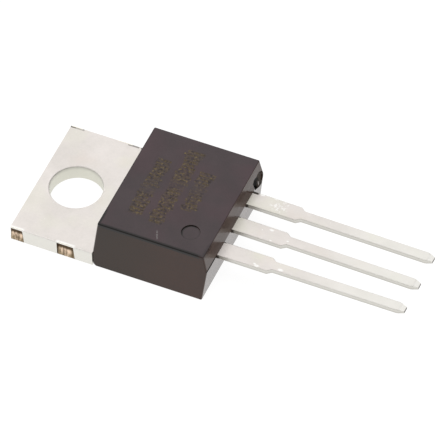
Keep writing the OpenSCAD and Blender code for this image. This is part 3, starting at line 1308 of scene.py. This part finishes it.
@dataclass
class LeadBlade:
    """The part of one lead outside the epoxy: wide, then narrow, then tapered to a cropped tip."""

    name: str
    side: float
    droop: float
    tin: bpy.types.Material
    cropped: bpy.types.Material
    root: float = 12.38
    inner_end: float = 11.9
    top: float = 2.96
    thickness: float = 0.4
    wide_width: float = 1.3
    narrow_width: float = 0.79
    tip_width: float = 0.48
    tip_thickness: float = 0.22
    wide_length: float = 3.72
    shoulder_length: float = 0.32
    tip_length: float = 0.55
    bevel_share: float = 0.7
    length: float = 13.98
    edge_radius: float = 0.06
    seat_gap: float = 0.002
    ring_points: int = 24
    stations: int = 300

    def sizes(self) -> dict[str, float]:
        """Gives the tree's inputs.

        Returns:
            Their names and values.
        """
        return {
            "Side": self.side,
            "Droop": math.radians(self.droop),
            "Root": self.root,
            "Inner End": self.inner_end,
            "Top": self.top,
            "Thickness": self.thickness,
            "Wide Width": self.wide_width,
            "Narrow Width": self.narrow_width,
            "Tip Width": self.tip_width,
            "Tip Thickness": self.tip_thickness,
            "Wide Length": self.wide_length,
            "Shoulder Length": self.shoulder_length,
            "Tip Length": self.tip_length,
            "Length": self.length,
            "Edge Radius": self.edge_radius,
            "Seed": 3.0 + self.side,
        }

    def corner_angle(self, tree: ShapeTree, ring_y: Signal, ring_z: Signal) -> Signal:
        """Spreads each quarter of the ring's points evenly over one whole rounded corner.

        Args:
            tree: The tree to build in.
            ring_y: The ring point's place across the lead.
            ring_z: Its place through the lead.

        Returns:
            The point's angle on its corner's rounding, in radians.
        """
        quarter = ring_z.angle(ring_y) / (math.pi / 2) + 4.0
        gap = 2.0 / self.ring_points
        share = (quarter.fraction() - gap) / (1.0 - 2.0 * gap)
        return (quarter.floor() + share) * (math.pi / 2)

    def build(self) -> bpy.types.Object:
        """Runs a rounded box section along the lead, to widths and thicknesses that follow a rule.

        Returns:
            The blade, closed at both ends, in millimetres.
        """
        tree = ShapeTree("lead_blade", self.sizes())
        size = tree.size
        half_step = (0, 0, math.pi / self.ring_points)
        turned = {"Geometry": tree.circle(self.ring_points), "Rotation": half_step}
        ring = tree.out(tree.node("GeometryNodeTransform", None, turned))
        skin = tree.sweep(tree.line((0, 0, 0), (1, 0, 0), self.stations), ring)
        along, ring_y, ring_z = tree.place_of()
        x = size("Inner End") + along * (size("Root") - size("Inner End") + size("Length"))
        out = x - size("Root")
        angle = self.corner_angle(tree, ring_y, ring_z)
        shoulder_end = size("Wide Length") + size("Shoulder Length")
        width = out.ramp(size("Wide Length"), shoulder_end, size("Wide Width"), size("Narrow Width"), False)
        taper = out.ramp(size("Length") - size("Tip Length"), size("Length"), 0.0, 1.0, False)
        width = width + (size("Tip Width") - size("Narrow Width")) * taper
        bevel_start = size("Length") - size("Tip Length") * self.bevel_share
        bevel = out.ramp(bevel_start, size("Length"), 0.0, 1.0, False)
        thick = size("Thickness") + (size("Tip Thickness") - size("Thickness")) * bevel
        outside = out.ramp(-0.02, 0.05)
        seat = (1.0 - outside) * self.seat_gap
        ripple = tree.noise(tree.join(x * 1.6, ring_y, size("Seed")), 1.0, 2.0, 0.5)
        width = width - seat - ripple * outside * 0.012
        thick = thick - seat
        radius = (size("Edge Radius") * outside + 0.004) * (1.0 - bevel * 0.55)
        y = ring_y.sign() * (width / 2.0 - radius) + angle.cosine() * radius
        z = ring_z.sign() * (thick / 2.0 - radius) + angle.sine() * radius - size("Thickness") / 2.0
        turn = size("Droop") * out.ramp(0.0, 0.01, 0.0, 1.0, False)
        far = out * turn.cosine() + z * turn.sine() + size("Root")
        up = z * turn.cosine() - out * turn.sine() + size("Top")
        moved = tree.move(skin, tree.join(far, y + size("Side"), up))
        facing = tree.split(tree.out(tree.node("GeometryNodeInputNormal")))[0]
        return tree.make(self.name, moved, self.tin, (tree.above(facing, 0.9), self.cropped))


@dataclass
class ShearNotch:
    """The rough tool that leaves one sheared mark in the tab's long side."""

    copper: bpy.types.Material
    start: float
    end: float
    side: float
    seed: float
    edge: float = 5.185
    depth: float = 0.115
    least_depth: float = 0.012
    rough: float = 0.035
    height: float = 1.2
    reach: float = 0.6
    stock: float = 0.4
    slant: float = 0.14

    def build(self) -> bpy.types.Object:
        """Makes a fine block whose inner face is streaked by the shear and whose far end leans.

        Returns:
            The tool, in millimetres.
        """
        sizes = {
            "Start": self.start,
            "End": self.end,
            "Height": self.height,
            "Depth": self.depth,
            "Rough": self.rough,
            "Slant": self.slant,
            "Seed": self.seed,
        }
        tree = ShapeTree("shear_notch", sizes)
        size = tree.size
        block = tree.block(70, 2, 34)
        u, v, w = (part + 0.5 for part in tree.place_of())
        length = size("End") - size("Start")
        x = size("Start") + u * length + size("Slant") * u * (1.0 - w)
        z = w * (size("Height") + self.reach) - self.reach
        place = tree.join(x, z, size("Seed"))
        streaks = tree.noise(tree.stretch(place, 6.5, 0.8, 1.0), 1.0, 3.0, 0.6) - 0.5
        tear = tree.noise(tree.stretch(place, 2.2, 2.0, 1.0), 1.0, 3.0, 0.6, 4.0) - 0.5
        bulge = z.ramp(0.6, -0.02) * 0.09
        rough = (streaks * 1.6 + tear * 1.2) * size("Rough") * u.ramp(0.0, 0.08) * u.ramp(1.0, 0.92)
        deep = (size("Depth") + rough - bulge).higher(self.least_depth) * w.ramp(1.0, 0.9, 0.55, 1.0)
        y = (self.edge + self.stock - v * (deep + self.stock)) * self.side
        obj = tree.make("shear_notch", tree.move(block, tree.join(x, y, z)), self.copper)
        Bench.turn_outward(obj)
        return obj


@dataclass
class BurrBead:
    """The thin bead of metal that the shear turned up along the tab's upper edge."""

    tin: bpy.types.Material
    start: float
    end: float
    side: float
    seed: float
    edge: float = 5.185
    top: float = 1.27
    radius: float = 0.045
    inset: float = 0.008
    sink: float = 0.028

    def build(self) -> bpy.types.Object:
        """Runs an uneven bead along the edge.

        Returns:
            The bead, closed at both ends, in millimetres.
        """
        sizes = {"Start": self.start, "End": self.end, "Radius": self.radius, "Seed": self.seed}
        tree = ShapeTree("burr_bead", sizes)
        size = tree.size
        y = (self.edge - self.radius - self.inset) * self.side
        first, last = (tree.join(size(end), y, self.top - self.sink) for end in ("Start", "End"))
        path = tree.line(first, last, 60)
        share = tree.out(tree.node("GeometryNodeSplineParameter"))
        lumps = tree.noise(tree.join(share * 9.0, size("Seed"), 0.0), 1.0, 3.0, 0.6)
        thick = (0.72 + lumps * 0.5) * share.ramp(0.0, 0.08, 0.35) * share.ramp(1.0, 0.92, 0.35)
        skin = tree.sweep(path, tree.circle(10), (size("Radius") * thick).lower(self.radius))
        obj = tree.make("burr_bead", skin, self.tin)
        Bench.turn_outward(obj)
        return obj


@dataclass
class DrainTab:
    """The tab with its hole, the pad and neck under the epoxy, and the middle lead: one copper piece."""

    tin: bpy.types.Material
    lead_tin: bpy.types.Material
    burr: bpy.types.Material
    copper: bpy.types.Material
    cropped: bpy.types.Material
    droop: float = 1.2
    free_end: float = -2.78
    body_end: float = 3.58
    half_width: float = 5.185
    thickness: float = 1.27
    edge_radius: float = 0.075
    hole_radius: float = 1.93
    roll: float = 0.09
    roll_steps: int = 6
    notches: tuple[Point, ...] = ((-3.2, -1.83), (0.84, 2.12))
    inset: float = 0.002
    weld: float = 0.06
    lead_weld: float = 12.0

    def edge_share(self, a: Vector, b: Vector) -> float:
        """Says how much of the radius one edge of the plate gets.

        Args:
            a: One end of the edge.
            b: Its other end.

        Returns:
            The share: none at the epoxy, most at the corners, and more above than below.
        """
        if min(a.x, b.x) > self.body_end - 0.01:
            return 0.0
        if abs(a.z - b.z) > 0.1:
            return 1.0
        return 0.62 if a.z > 0.5 else 0.35

    def plate(self) -> bpy.types.Object:
        """Makes the bare plate with its punched edges rounded.

        Returns:
            The plate, in millimetres.
        """
        left, right = self.free_end + self.inset, self.body_end
        half = self.half_width - self.inset
        corners = ((left, -half), (right, -half), (right, half), (left, half))
        rings = [[(x, y, z) for x, y in corners] for z in (0.0, self.thickness)]
        plate = Bench.place("drain_tab_piece", Bench.prism(rings), self.tin)
        Bench.round_edges(plate, self.edge_radius, self.edge_share, 4)
        return plate

    def hole(self) -> bpy.types.Object:
        """Makes the punch that leaves the screw hole, rolled over at its upper rim.

        Returns:
            The punch, in millimetres.
        """
        r, top, roll = self.hole_radius, self.thickness, self.roll
        profile = [(r + 0.05, -0.3), (r + 0.05, -0.002), (r + 0.012, 0.03)]
        profile += [(r, 0.09), (r, 0.45), (r + 0.002, 0.85)]
        for i in range(self.roll_steps + 1):
            a = math.pi / 2 * i / self.roll_steps
            profile.append((r + roll - roll * math.cos(a), top - roll + roll * math.sin(a)))
        profile.append((r + roll, top + 0.3))
        return Bench.lathe("screw_hole", (0.0, 0.0), profile, 128, self.tin)

    def shear(self, piece: bpy.types.Object) -> None:
        """Shears the marks in both long sides and turns up a burr over each.

        Args:
            piece: The plate.
        """
        seed = 1.0
        for side in (-1.0, 1.0):
            for start, end in self.notches:
                notch = ShearNotch(self.copper, start, end, side, seed)
                Bench.cut(piece, notch.build(), Cut.TAKE)
                first = max(start, self.free_end + 0.03)
                bead = BurrBead(self.burr, first, end + 0.02, side, seed + 5.0)
                Bench.cut(piece, bead.build(), Cut.ADD)
                seed += 1.0

    def build(self) -> bpy.types.Object:
        """Joins the plate to the pad, the neck and the middle lead.

        Returns:
            The finished piece.
        """
        piece = self.plate()
        Bench.cut(piece, self.hole(), Cut.TAKE)
        self.shear(piece)
        inner = Bench.copy_node("drain_tab", self.tin, self.body_end - self.weld, self.lead_weld)
        Bench.cut(piece, inner, Cut.ADD)
        blade = LeadBlade("drain_blade", 0.0, self.droop, self.lead_tin, self.cropped)
        Bench.cut(piece, blade.build(), Cut.ADD)
        return Bench.finish(piece, "plated_tab", "drain_tab")


@dataclass
class OuterLead:
    """A gate or source lead: its bonding post inside the epoxy and its blade outside."""

    node: str
    side: float
    droop: float
    tin: bpy.types.Material
    cropped: bpy.types.Material
    weld: float = 12.0

    def build(self) -> bpy.types.Object:
        """Joins the post to the blade.

        Returns:
            The finished piece.
        """
        blade = LeadBlade(f"{self.node}_piece", self.side, self.droop, self.tin, self.cropped).build()
        Bench.cut(blade, Bench.copy_node(self.node, self.tin, high=self.weld), Cut.ADD)
        return Bench.finish(blade, "plated_lead", self.node)


@dataclass
class MouldedBody:
    """The epoxy: a drafted block with softened edges, an ejector mark and the scar of its runner."""

    epoxy: bpy.types.Material
    broken: bpy.types.Material
    tab_side: float = 3.58
    parting_x: float = 12.38
    parting_z: float = 2.96
    height: float = 4.35
    width: float = 10.33
    side_lean: float = 0.26
    upper_lean: float = 0.26
    lower_lean: float = 0.41
    tab_side_lean: float = 0.42
    tab_thickness: float = 1.27
    corner_bevel: float = 0.24
    edge_radius: float = 0.12
    middle: Triple = (8.0, 0.0, 2.2)
    shrink: float = 0.9995
    recess: Point = (10.35, -3.08)
    recess_radius: float = 0.66
    recess_depth: float = 0.08
    scar_middle: Point = (4.3, 2.85)
    scar_size: Point = (2.3, 2.0)
    scar_depth: float = 0.26
    scar_floor: float = 0.175
    scar_rim: float = 4.86
    scar_outline: tuple[Point, ...] = (
        (3.3, 3.5),
        (3.36, 3.0),
        (3.5, 2.7),
        (4.3, 2.15),
        (4.75, 2.0),
        (5.3, 2.3),
        (5.3, 3.3),
        (4.8, 3.4),
        (4.4, 3.65),
        (3.95, 3.6),
        (3.6, 3.68),
    )
    # The crack's depth at each place along Y, and half of how far it gapes outside the epoxy.
    crack: tuple[Point, ...] = ((-5.0, 0.08), (-4.6, 0.17), (-3.8, 0.17), (-3.26, 0.07))
    crack_gape: float = 0.13

    def edge_share(self, a: Vector, b: Vector) -> float:
        """Says how much of the radius one edge of the block gets.

        Args:
            a: One end of the edge.
            b: Its other end.

        Returns:
            The share, most at the upright corners.
        """
        level = abs(a.z - b.z) < 0.01
        across = abs(a.y - b.y) > 1.0
        if level and a.z > self.height - 0.05:
            return 0.35 if across else 0.75
        if across and a.x > self.parting_x - 0.1:
            return 0.12 if abs(a.z - self.parting_z) < 0.02 else 0.0
        if across:
            return 0.4
        if not level and abs(a.z - b.z) > 1.0:
            return 1.0
        return 0.35 if a.z < 0.05 else 0.0

    def skin(self) -> bpy.types.Object:
        """Makes the outer form alone, with every edge softened by its own amount.

        Returns:
            The form, in millimetres.
        """
        end = self.parting_x
        outline = [
            (self.tab_side + self.corner_bevel, 0.0),
            (self.tab_side, self.corner_bevel),
            (self.tab_side, self.tab_thickness),
            (self.tab_side + self.tab_side_lean, self.height),
            (end - self.upper_lean, self.height),
            (end, self.parting_z),
            (end - self.lower_lean, 0.0),
        ]
        rings = []
        for side in (-1.0, 1.0):
            half_widths = (self.width / 2 - self.side_lean * z / self.height for _, z in outline)
            rings.append([(x, side * half, z) for (x, z), half in zip(outline, half_widths)])
        form = Bench.prism(rings)
        middle = Vector(self.middle)
        about = Matrix.Translation(middle) @ Matrix.Scale(self.shrink, 4) @ Matrix.Translation(-middle)
        bmesh.ops.transform(form, matrix=about, verts=form.verts)
        skin = Bench.place("moulded_body_piece", form, self.epoxy)
        Bench.round_edges(skin, self.edge_radius, self.edge_share, 4)
        return skin

    def ejector_mark(self) -> bpy.types.Object:
        """Makes the tool for the round mark that the mould's ejector left, with a soft rim.

        Returns:
            The tool, in millimetres.
        """
        r, top, deep = self.recess_radius, self.height, self.recess_depth
        profile = [(r - 0.05, top - deep - 0.004), (r + 0.004, top - deep + 0.02), (r + 0.006, top - 0.03)]
        profile += [(r + 0.016, top - 0.012), (r + 0.04, top + 0.002), (r + 0.04, top + 0.2)]
        return Bench.lathe("ejector_mark", self.recess, profile, 96, self.epoxy)

    def runner_scar(self) -> bpy.types.Object:
        """Makes the tool for the broken scar: a block whose inner face is faceted like chipped glass.

        Returns:
            The tool, in millimetres.
        """
        tree = ShapeTree("runner_scar", {"Depth": self.scar_depth, "Rim": self.scar_rim, "Seed": 2.0})
        block = tree.block(2, 46, 40)
        u, v, w = tree.place_of()
        y, z = v * self.scar_size[0] + self.scar_middle[0], w * self.scar_size[1] + self.scar_middle[1]
        place = tree.join(y, z, tree.size("Seed"))
        settings = {"feature": "F1", "distance": "EUCLIDEAN"}
        chips = tree.node("ShaderNodeTexVoronoi", settings, {"Vector": place, "Scale": 1.5})
        crumbs = tree.noise(place, 4.0, 3.0, 0.6) - 0.5
        from_rim = tree.size("Rim") - y
        deep = tree.size("Depth") + tree.out(chips, "Distance") * 0.2 + crumbs * 0.09
        deep = deep * from_rim.ramp(0.0, 1.2, 0.14, 1.0)
        deep = deep.higher(from_rim.ramp(0.0, 0.06, 0.0, self.scar_floor) + crumbs * 0.03)
        inside = u.ramp(-0.4, 0.4, 1.0, 0.0)
        x = self.parting_x + 0.3 - inside * (deep + 0.3)
        tool = tree.make("runner_scar", tree.move(block, tree.join(x, y, z)), self.broken)
        Bench.turn_outward(tool)
        reach = (self.parting_x - 1.0, self.parting_x + 0.2)
        outline = Bench.prism([[(x, y, z) for y, z in self.scar_outline] for x in reach])
        Bench.cut(tool, Bench.place("scar_outline", outline, self.broken), Cut.KEEP)
        return tool

    def parting_crack(self) -> bpy.types.Object:
        """Makes the tool for the thin open line where the mould's halves met, by the near corner.

        Returns:
            The tool, in millimetres.
        """
        outer, z, gape = self.parting_x + 0.06, self.parting_z + 0.005, self.crack_gape
        rings = []
        for y, deep in self.crack:
            rings.append([(outer, y, z - gape), (outer, y, z + gape), (self.parting_x - deep, y, z)])
        return Bench.place("parting_crack", Bench.prism(rings), self.broken)

    def build(self) -> bpy.types.Object:
        """Shapes the epoxy round everything that it grips.

        Returns:
            The finished piece.
        """
        piece = self.skin()
        Bench.cut(piece, Bench.copy_node("moulded_body", self.epoxy), Cut.KEEP)
        for tool in (self.ejector_mark, self.runner_scar, self.parting_crack):
            Bench.cut(piece, tool(), Cut.TAKE)
        return Bench.finish(piece, "epoxy", "moulded_body")


@dataclass
class HiddenParts:
    """The chip, its solder and its bond wires, which keep their own solids and get their finishes."""

    finishes: dict[str, bpy.types.Material]

    def dress(self) -> None:
        """Gives each solid its finish."""
        for node, finish in self.finishes.items():
            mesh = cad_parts[node].data
            mesh.materials.clear()
            mesh.materials.append(finish)
            log.info("%s: finish %s", node, finish.name)


# ---------------------------------------------------------------------------------------------
# Studio
# ---------------------------------------------------------------------------------------------


@dataclass
class Camera:
    """A long-lens camera, placed in millimetres."""

    azimuth: float = 25.435
    elevation: float = 49.469
    roll: float = -2.095
    target: Triple = (10.934, 0.824, 1.5)
    distance: float = 429.254
    lens: float = 494.05
    sensor: float = 36.0

    def build(self) -> None:
        """Makes the camera and sets it as the scene's."""
        a, e, turn = (math.radians(angle) for angle in (self.azimuth, self.elevation, self.roll))
        back = Vector((math.sin(a) * math.cos(e), -math.cos(a) * math.cos(e), math.sin(e)))
        right = (-back).cross(Vector((0, 0, 1))).normalized()
        up = right.cross(-back)
        sine, cosine = math.sin(turn), math.cos(turn)
        right, up = cosine * right + sine * up, -sine * right + cosine * up
        data = bpy.data.cameras.new("camera")
        data.sensor_fit, data.sensor_width, data.lens = "HORIZONTAL", self.sensor, self.lens
        data.clip_start, data.clip_end = 0.01, 10.0
        camera = bpy.data.objects.new("camera", data)
        place = (Vector(self.target) + back * self.distance) * MM
        axes = Matrix((right, up, back)).transposed().to_4x4()
        camera.matrix_world = Matrix.Translation(place) @ axes
        bpy.context.scene.collection.objects.link(camera)
        bpy.context.scene.camera = camera


@dataclass
class Studio:
    """A pale floor that glows, one soft box, and a pale room with a bright wall, a doorway and a curtain.

    The floor's size and the lamp's place, aim and width are in metres.
    """

    floor_size: float = 6.0
    floor_colour: Rgb = (0.13, 0.13, 0.13)
    fibre_colour: Rgb = (0.15, 0.15, 0.15)
    glow: float = 0.93
    lamp_place: Triple = (0.03, -0.05, 0.45)
    lamp_aim: Triple = (0.01, 0.0, 0.0)
    lamp_width: float = 0.3
    lamp_power: float = 0.9
    source_towards: Triple = (-0.279, 0.587, 0.760)
    source: float = 1.09
    room: float = 0.75
    doorway_towards: Triple = (0.62, 0.60, 0.505)
    doorway: float = 0.16
    curtain_towards: Triple = (0.279, -0.587, 0.760)
    curtain: float = 0.6

    def floor(self) -> None:
        """Lays the floor."""
        tree = FinishTree("paper_floor")
        colour = tree.blend(self.floor_colour, self.fibre_colour, tree.cloud(0.08, 3.0, 0.6))
        material = tree.surface(colour, 0.9, gloss=0.0)
        shader = next(node for node in material.node_tree.nodes if node.type == "BSDF_PRINCIPLED")
        shader.inputs["Emission Color"].default_value = (1.0, 1.0, 1.0, 1.0)
        shader.inputs["Emission Strength"].default_value = self.glow
        half = self.floor_size / 2
        form = bmesh.new()
        corners = ((-half, -half, 0), (half, -half, 0), (half, half, 0), (-half, half, 0))
        form.faces.new([form.verts.new(corner) for corner in corners])
        floor = Bench.place("floor", form, material)
        if floor.data.polygons[0].normal.z < 0:
            floor.data.flip_normals()

    def lamp(self) -> None:
        """Hangs the soft box, facing the part."""
        data = bpy.data.lights.new("overhead", "AREA")
        data.shape, data.size, data.energy = "DISK", self.lamp_width, self.lamp_power
        lamp = bpy.data.objects.new("overhead", data)
        lamp.location = self.lamp_place
        lamp.rotation_mode = "QUATERNION"
        lamp.rotation_quaternion = (Vector(self.lamp_aim) - Vector(self.lamp_place)).to_track_quat("-Z", "Y")
        lamp.visible_glossy = False
        bpy.context.scene.collection.objects.link(lamp)

    def tent(self) -> None:
        """Wraps the scene in the room."""
        world = bpy.data.worlds.new("tent")
        world.use_nodes = True
        bpy.context.scene.world = world
        tree = NodeTree(world.node_tree)
        tree.tree.nodes.clear()
        heading = tree.out(tree.node("ShaderNodeTexCoord"), "Generated")
        dot = {"operation": "DOT_PRODUCT"}
        wall, doorway, curtain = (
            tree.out(tree.node("ShaderNodeVectorMath", dot, {0: heading, 1: towards}), 1)
            for towards in (self.source_towards, self.doorway_towards, self.curtain_towards)
        )
        strength = wall.ramp(0.45, 0.86, self.room, self.source)
        strength = strength * doorway.ramp(0.66, 0.93, 1.0, self.doorway)
        strength = strength * curtain.ramp(0.5, 0.85, 1.0, self.curtain)
        shader = tree.node("ShaderNodeBackground", None, {"Color": (1, 1, 1, 1), "Strength": strength})
        tree.node("ShaderNodeOutputWorld", None, {"Surface": tree.out(shader)})

    def build(self) -> None:
        """Sets up the floor, the room and the soft box."""
        self.floor()
        self.tent()
        self.lamp()
        bpy.context.scene.view_settings.view_transform = "Standard"


def main() -> None:
    """Builds the part and the studio."""
    logging.basicConfig(level=logging.INFO, format="%(name)s %(message)s")
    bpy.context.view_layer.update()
    epoxy, broken = EpoxyFinish().material(), FractureFinish().material()
    tab_tin = TabTinFinish("tin_on_tab", Drawing.ALL_ROUND, (0.775, 0.76, 0.71)).material()
    lead_tin = LeadTinFinish("tin_on_leads", Drawing.ALONG_LEADS, (0.665, 0.65, 0.605)).material()
    copper, cropped, burr = (kind().material() for kind in (ShearedCopperFinish, CutTipFinish, BurrFinish))
    wire, silicon, solder = (kind().material() for kind in (WireFinish, SiliconFinish, SolderFinish))
    DrainTab(tab_tin, lead_tin, burr, copper, cropped).build()
    OuterLead("gate_lead", -2.54, 0.2, lead_tin, cropped).build()
    OuterLead("source_lead", 2.54, 1.1, lead_tin, cropped).build()
    MouldedBody(epoxy, broken).build()
    wires = {"gate_wire": wire, "source_wire_1": wire, "source_wire_2": wire}
    HiddenParts({"silicon_die": silicon, "die_solder": solder, **wires}).dress()
    Camera().build()
    Studio().build()


if __name__ == "__main__":
    main()
